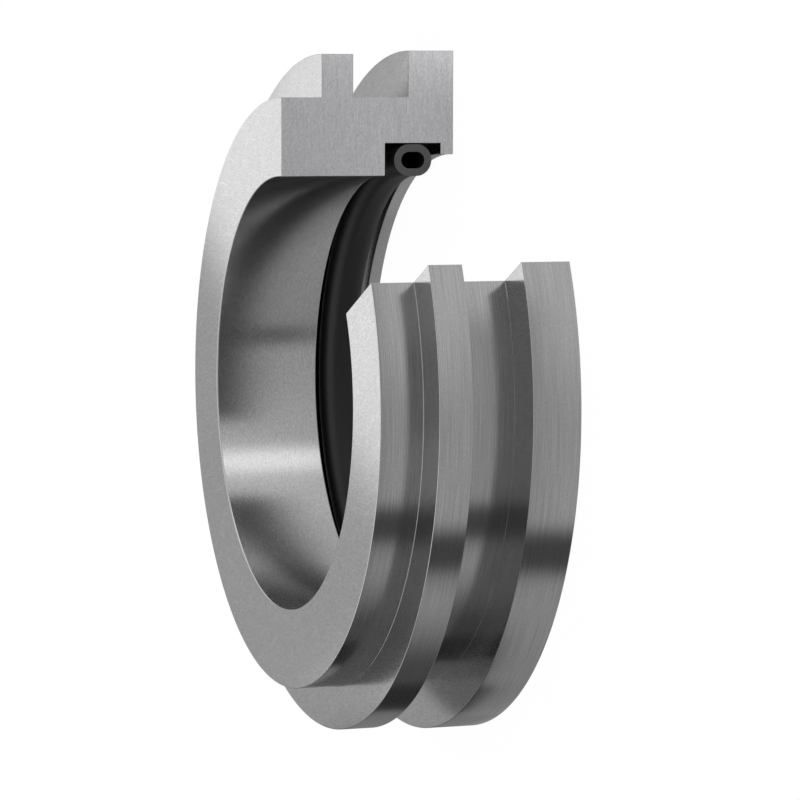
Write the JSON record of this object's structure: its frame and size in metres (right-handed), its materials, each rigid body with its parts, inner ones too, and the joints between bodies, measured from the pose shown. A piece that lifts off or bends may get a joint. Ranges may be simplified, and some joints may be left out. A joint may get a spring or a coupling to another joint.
{
  "type": "labyrinth seal ring",
  "caption": "Steel labyrinth seal ring for a shaft, with outer flanges and a hollow rubber seal in a bore groove, cut open by a sector to show its section.",
  "frame": {"origin": "on the ring's axis, in the plane of the wide flange's end face, on which the ring stands", "axes": "+Z along the shaft axis, from the wide flange to the nose; the sector that is cut out lies between +X and -Y"},
  "size_m": [0.095, 0.095, 0.0254],
  "materials": {
    "turned_steel": "fine turned and brushed, plain",
    "black_rubber": "matt, dark grey where it is cut"
  },
  "bodies": {
    "root": {"labyrinth_ring": "turned_steel", "hollow_rubber_seal": "black_rubber"}
  },
  "joints": []
}
